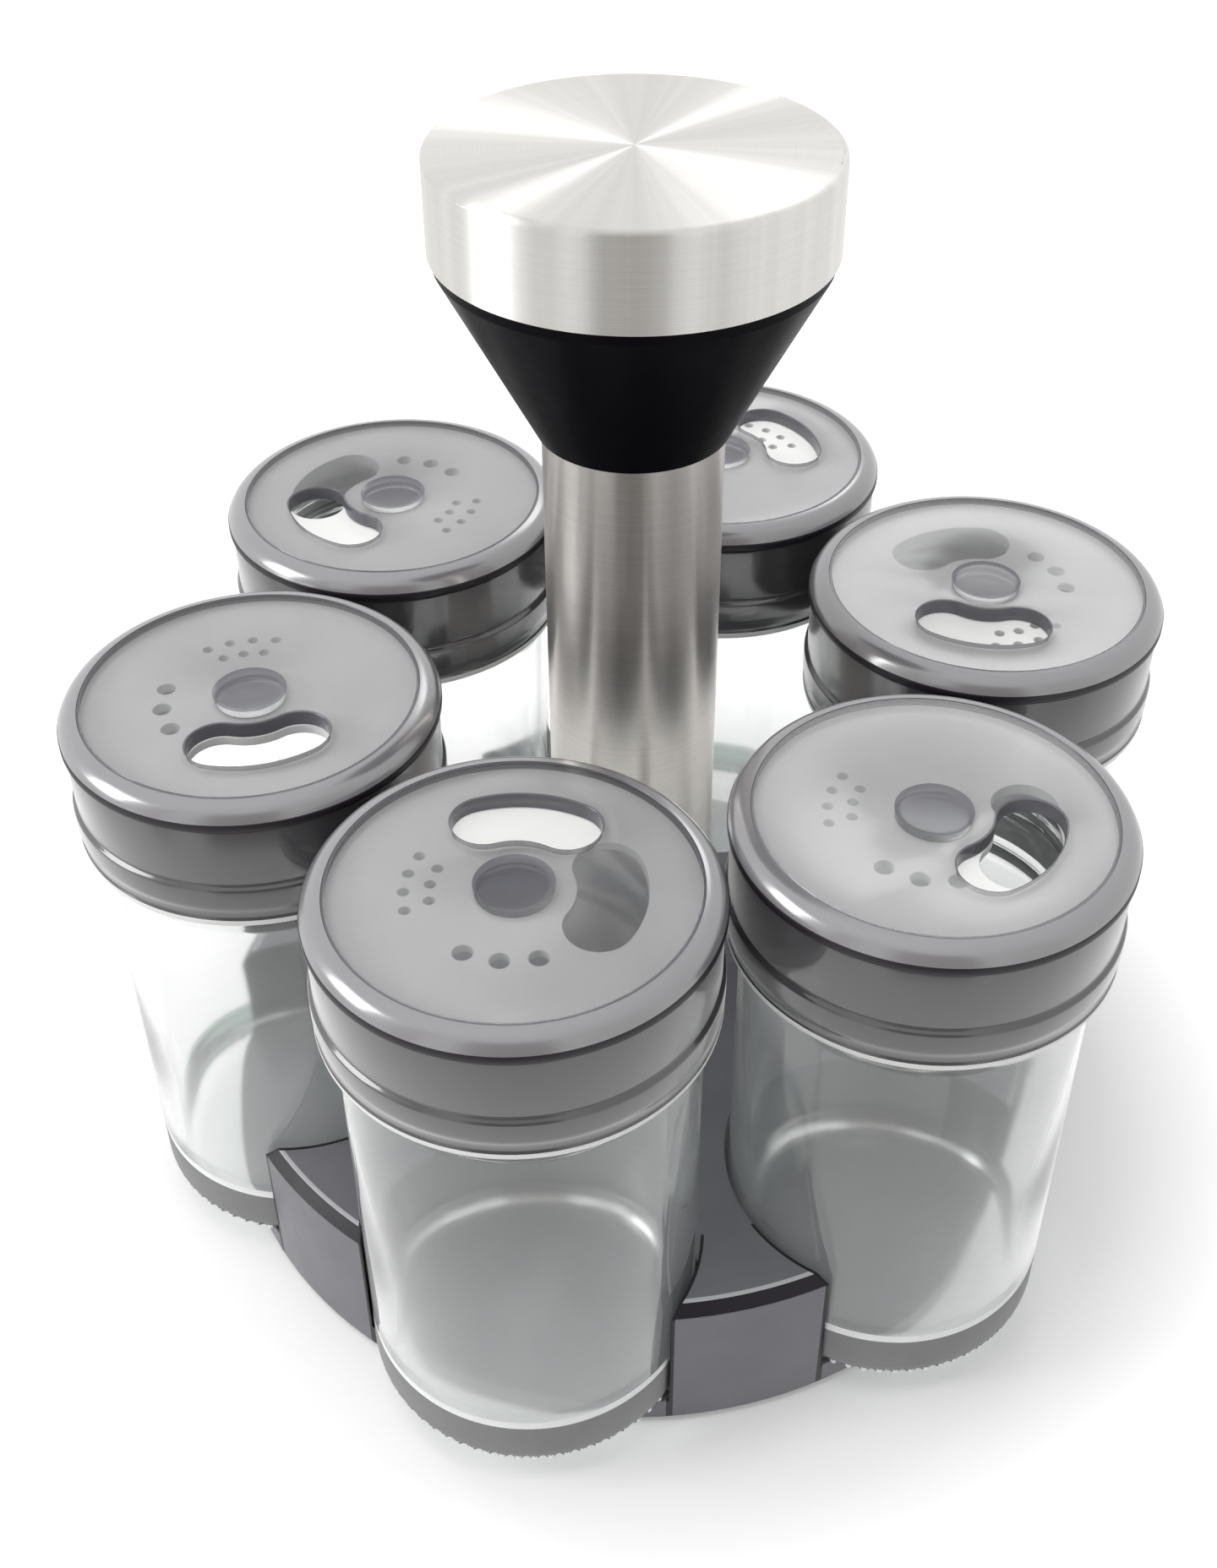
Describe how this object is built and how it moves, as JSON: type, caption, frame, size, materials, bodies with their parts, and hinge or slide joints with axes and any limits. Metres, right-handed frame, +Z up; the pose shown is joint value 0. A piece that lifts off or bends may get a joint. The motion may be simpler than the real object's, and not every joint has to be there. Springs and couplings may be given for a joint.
{
  "type": "rotating spice rack",
  "caption": "Round countertop rack: glass spice jars with turning shaker lids stand in the pockets of a rotating tray, round a steel column with a knob.",
  "frame": {"origin": "on the table plane, on the axis of the column", "axes": "+Z up along the column; jar 1 stands towards -Y"},
  "size_m": [0.1482, 0.163, 0.1673],
  "materials": {
    "jar_glass": "clear, very slightly green",
    "smoke_collar": "smoke-grey translucent gloss",
    "smoke_dial": "smoke-grey translucent gloss",
    "white_plate": "white satin",
    "tray_plastic": "dark grey satin",
    "foot_plastic": "black matte",
    "cone_plastic": "black satin",
    "column_steel": "brushed in rings round its axis",
    "cap_steel": "spun, brushed in circles on top",
    "plated_steel": "zinc plated",
    "nylon": "natural",
    "pad_rubber": "matte"
  },
  "bodies": {
    "foot": {"foot_plate": "foot_plastic", "foot_pads": "pad_rubber", "race_hub": "foot_plastic", "foot_screws": "plated_steel"},
    "ball_ring": {"ball_cage": "nylon", "bearing_balls": "plated_steel"},
    "carousel": {"base_tray": "tray_plastic", "column_tube": "column_steel", "knob_cone": "cone_plastic", "knob_cap": "cap_steel", "tie_rod": "plated_steel", "top_nut": "plated_steel", "top_washer": "plated_steel", "clamp_nut": "plated_steel", "clamp_washer": "plated_steel", "pivot_bush": "nylon", "thrust_washer": "plated_steel", "lock_nut": "plated_steel"},
    "jar_1": {"jar_1": "jar_glass"},
    "lid_1": {"lid_collar_1": "smoke_collar", "sifter_1": "white_plate"},
    "dial_1": {"dial_1": "smoke_dial"},
    "jar_2": {"jar_2": "jar_glass"},
    "lid_2": {"lid_collar_2": "smoke_collar", "sifter_2": "white_plate"},
    "dial_2": {"dial_2": "smoke_dial"},
    "jar_3": {"jar_3": "jar_glass"},
    "lid_3": {"lid_collar_3": "smoke_collar", "sifter_3": "white_plate"},
    "dial_3": {"dial_3": "smoke_dial"},
    "jar_4": {"jar_4": "jar_glass"},
    "lid_4": {"lid_collar_4": "smoke_collar", "sifter_4": "white_plate"},
    "dial_4": {"dial_4": "smoke_dial"},
    "jar_5": {"jar_5": "jar_glass"},
    "lid_5": {"lid_collar_5": "smoke_collar", "sifter_5": "white_plate"},
    "dial_5": {"dial_5": "smoke_dial"},
    "jar_6": {"jar_6": "jar_glass"},
    "lid_6": {"lid_collar_6": "smoke_collar", "sifter_6": "white_plate"},
    "dial_6": {"dial_6": "smoke_dial"}
  },
  "joints": [
    {"name": "carousel_spin", "type": "hinge", "parent": "foot", "child": "carousel", "pos_m": [0, 0, 0], "axis": [0, 0, 1], "continuous": true},
    {"name": "ball_roll", "type": "hinge", "parent": "foot", "child": "ball_ring", "pos_m": [0, 0, 0], "axis": [0, 0, 1], "continuous": true},
    {"name": "jar_1_lift", "type": "slide", "parent": "carousel", "child": "jar_1", "axis": [0, 0, 1], "range_m": [0, 0.03]},
    {"name": "lid_1_lift", "type": "slide", "parent": "jar_1", "child": "lid_1", "axis": [0, 0, 1], "range_m": [0, 0.02]},
    {"name": "dial_1_turn", "type": "hinge", "parent": "lid_1", "child": "dial_1", "pos_m": [0, -0.055, 0.0916], "axis": [0, 0, 1], "continuous": true},
    {"name": "jar_2_lift", "type": "slide", "parent": "carousel", "child": "jar_2", "axis": [0, 0, 1], "range_m": [0, 0.03]},
    {"name": "lid_2_lift", "type": "slide", "parent": "jar_2", "child": "lid_2", "axis": [0, 0, 1], "range_m": [0, 0.02]},
    {"name": "dial_2_turn", "type": "hinge", "parent": "lid_2", "child": "dial_2", "pos_m": [0.04763, -0.0275, 0.0916], "axis": [0, 0, 1], "continuous": true},
    {"name": "jar_3_lift", "type": "slide", "parent": "carousel", "child": "jar_3", "axis": [0, 0, 1], "range_m": [0, 0.03]},
    {"name": "lid_3_lift", "type": "slide", "parent": "jar_3", "child": "lid_3", "axis": [0, 0, 1], "range_m": [0, 0.02]},
    {"name": "dial_3_turn", "type": "hinge", "parent": "lid_3", "child": "dial_3", "pos_m": [0.04763, 0.0275, 0.0916], "axis": [0, 0, 1], "continuous": true},
    {"name": "jar_4_lift", "type": "slide", "parent": "carousel", "child": "jar_4", "axis": [0, 0, 1], "range_m": [0, 0.03]},
    {"name": "lid_4_lift", "type": "slide", "parent": "jar_4", "child": "lid_4", "axis": [0, 0, 1], "range_m": [0, 0.02]},
    {"name": "dial_4_turn", "type": "hinge", "parent": "lid_4", "child": "dial_4", "pos_m": [0, 0.055, 0.0916], "axis": [0, 0, 1], "continuous": true},
    {"name": "jar_5_lift", "type": "slide", "parent": "carousel", "child": "jar_5", "axis": [0, 0, 1], "range_m": [0, 0.03]},
    {"name": "lid_5_lift", "type": "slide", "parent": "jar_5", "child": "lid_5", "axis": [0, 0, 1], "range_m": [0, 0.02]},
    {"name": "dial_5_turn", "type": "hinge", "parent": "lid_5", "child": "dial_5", "pos_m": [-0.04763, 0.0275, 0.0916], "axis": [0, 0, 1], "continuous": true},
    {"name": "jar_6_lift", "type": "slide", "parent": "carousel", "child": "jar_6", "axis": [0, 0, 1], "range_m": [0, 0.03]},
    {"name": "lid_6_lift", "type": "slide", "parent": "jar_6", "child": "lid_6", "axis": [0, 0, 1], "range_m": [0, 0.02]},
    {"name": "dial_6_turn", "type": "hinge", "parent": "lid_6", "child": "dial_6", "pos_m": [-0.04763, -0.0275, 0.0916], "axis": [0, 0, 1], "continuous": true}
  ],
  "couplings": [
    {"joint": "ball_roll", "follows": "carousel_spin", "ratio": 0.5}
  ]
}
